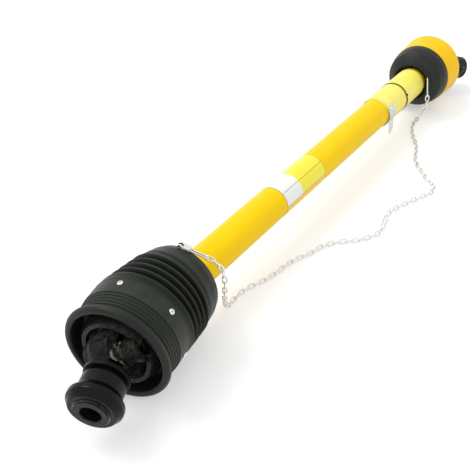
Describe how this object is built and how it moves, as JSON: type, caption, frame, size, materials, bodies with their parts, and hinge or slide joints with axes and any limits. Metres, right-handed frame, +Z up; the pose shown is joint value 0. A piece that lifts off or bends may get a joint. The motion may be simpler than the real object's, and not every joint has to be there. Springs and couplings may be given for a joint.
{
  "type": "pto drive shaft",
  "caption": "Telescoping tractor drive shaft with a wide-angle joint under a ribbed bell at one end, a single joint at the other, a full plastic guard and holding chains.",
  "frame": {"origin": "centre of the tractor bore, on the mouth face of the tractor yoke", "axes": "+X along the guard tube from the tractor end to the implement end, +Y to the side away from the chains, +Z up as the shaft lies on the floor"},
  "size_m": [1.6026, 0.3162, 0.2043],
  "materials": {
    "guard_tube_yellow": "extruded yellow polyethylene tube, satin",
    "guard_shell_black": "moulded black polyethylene, satin with fine grain",
    "bellows_rubber": "soft black rubber, dull",
    "guard_yellow": "moulded yellow polyethylene, satin",
    "label_white": "printed film, blank white",
    "label_yellow": "printed film, blank yellow",
    "booklet_paper": "rolled booklet, pale yellow paper",
    "elastic_black": "elastic band, black",
    "clear_film": "clear polyethylene film",
    "forged_black": "forged steel in black paint",
    "tube_steel": "drawn steel tube, oiled",
    "bearing_steel": "ground bearing steel",
    "spring_steel": "spring steel, blackened",
    "zinc_steel": "bright zinc plated steel wire",
    "collar_black": "machined steel collar in glossy black",
    "nylon_white": "natural nylon"
  },
  "bodies": {
    "driveline": {"outer_profile_tube": "tube_steel", "tractor_inner_yoke": "forged_black", "tractor_roll_pin": "spring_steel", "inner_cross_yoke_cups": "bearing_steel", "inner_cross_yoke_snap_rings": "spring_steel", "rubber_bellows": "bellows_rubber"},
    "inner_cross": {"inner_cross": "bearing_steel", "inner_grease_nipple": "zinc_steel"},
    "centre_housing": {"centre_housing": "forged_black", "housing_cups": "bearing_steel", "housing_snap_rings": "spring_steel"},
    "outer_cross": {"outer_cross": "bearing_steel", "outer_grease_nipple": "zinc_steel"},
    "tractor_yoke": {"tractor_yoke": "forged_black", "tractor_yoke_cups": "bearing_steel", "tractor_yoke_snap_rings": "spring_steel", "locking_balls": "bearing_steel", "collar_spring": "spring_steel", "collar_keeper_ring": "spring_steel"},
    "pull_collar": {"pull_collar": "collar_black"},
    "bell": {"guard_bell": "guard_shell_black", "bell_bearing_ring": "nylon_white", "bell_screws": "zinc_steel"},
    "near_guard": {"outer_guard_tube": "guard_tube_yellow", "base_cone": "guard_shell_black", "tractor_bearing_ring": "nylon_white", "white_label_field": "label_white", "yellow_label_field": "label_yellow", "booklet": "booklet_paper", "booklet_band": "elastic_black", "clear_film_flap": "clear_film", "near_chain_hook": "zinc_steel", "near_chain": "zinc_steel", "chain_join_hook": "zinc_steel"},
    "far_driveline": {"inner_profile_tube": "tube_steel", "implement_inner_yoke": "forged_black", "implement_roll_pin": "spring_steel", "implement_inner_cups": "bearing_steel", "implement_inner_snap_rings": "spring_steel"},
    "implement_cross": {"implement_cross": "bearing_steel", "implement_grease_nipple": "zinc_steel"},
    "implement_yoke": {"implement_yoke": "forged_black", "implement_yoke_cups": "bearing_steel", "implement_yoke_snap_rings": "spring_steel", "quick_release_spring": "spring_steel"},
    "quick_release_pin": {"quick_release_pin": "zinc_steel"},
    "far_guard": {"inner_guard_tube": "guard_tube_yellow", "implement_funnel": "guard_shell_black", "yellow_guard_ring": "guard_yellow", "implement_bearing_ring": "nylon_white", "far_chain": "zinc_steel", "far_chain_hook": "zinc_steel"}
  },
  "joints": [
    {"name": "inner_cross_turn", "type": "hinge", "parent": "driveline", "child": "inner_cross", "pos_m": [0.20833, 0.05681, 0.02293], "axis": [0.015, 0.5, 0.8659], "range_deg": [-34, 22], "deforming": ["rubber_bellows"]},
    {"name": "housing_swing", "type": "hinge", "parent": "inner_cross", "child": "centre_housing", "pos_m": [0.20833, 0.05681, 0.02293], "axis": [0.1131, -0.8613, 0.4954], "range_deg": [-36.5, 19.5]},
    {"name": "outer_cross_swing", "type": "hinge", "parent": "centre_housing", "child": "outer_cross", "pos_m": [0.12561, 0.04308, 0.01795], "axis": [0.1131, -0.8613, 0.4954], "range_deg": [-36.5, 19.5]},
    {"name": "tractor_yoke_turn", "type": "hinge", "parent": "outer_cross", "child": "tractor_yoke", "pos_m": [0.12561, 0.04308, 0.01795], "axis": [-0.2761, 0.4517, 0.8484], "range_deg": [-34, 22]},
    {"name": "collar_pull", "type": "slide", "parent": "tractor_yoke", "child": "pull_collar", "axis": [0.9374, 0.3215, 0.1339], "range_m": [0, 0.008], "stiffness_N_per_m": 2500, "springref_m": -0.006, "deforming": ["collar_spring"]},
    {"name": "near_guard_spin", "type": "hinge", "parent": "driveline", "child": "near_guard", "pos_m": [0.20833, 0.05681, 0.02293], "axis": [0.9999, 0, -0.0173], "continuous": true},
    {"name": "bell_spin", "type": "hinge", "parent": "centre_housing", "child": "bell", "pos_m": [0.20833, 0.05681, 0.02293], "axis": [0.9848, 0.1634, 0.0593], "continuous": true},
    {"name": "telescope", "type": "slide", "parent": "driveline", "child": "far_driveline", "axis": [0.9999, 0, -0.0173], "range_m": [-0.003, 0.25]},
    {"name": "implement_cross_turn", "type": "hinge", "parent": "far_driveline", "child": "implement_cross", "pos_m": [1.49014, 0.05681, 0.00077], "axis": [0.0086, 0.866, 0.4999], "range_deg": [-30, 30]},
    {"name": "implement_yoke_swing", "type": "hinge", "parent": "implement_cross", "child": "implement_yoke", "pos_m": [1.49014, 0.05681, 0.00077], "axis": [0.015, -0.5, 0.8659], "range_deg": [-5, 75]},
    {"name": "quick_pin_push", "type": "slide", "parent": "implement_yoke", "child": "quick_release_pin", "axis": [0.015, -0.5, 0.8659], "range_m": [0, 0.008], "stiffness_N_per_m": 2500, "springref_m": -0.004, "deforming": ["quick_release_spring"]},
    {"name": "far_guard_spin", "type": "hinge", "parent": "far_driveline", "child": "far_guard", "pos_m": [1.49014, 0.05681, 0.00077], "axis": [0.9999, 0, -0.0173], "continuous": true}
  ],
  "couplings": [
    {"joint": "outer_cross_swing", "follows": "housing_swing", "ratio": 1},
    {"joint": "tractor_yoke_turn", "follows": "inner_cross_turn", "ratio": 1},
    {"joint": "bell_spin", "follows": "near_guard_spin", "ratio": 1}
  ]
}
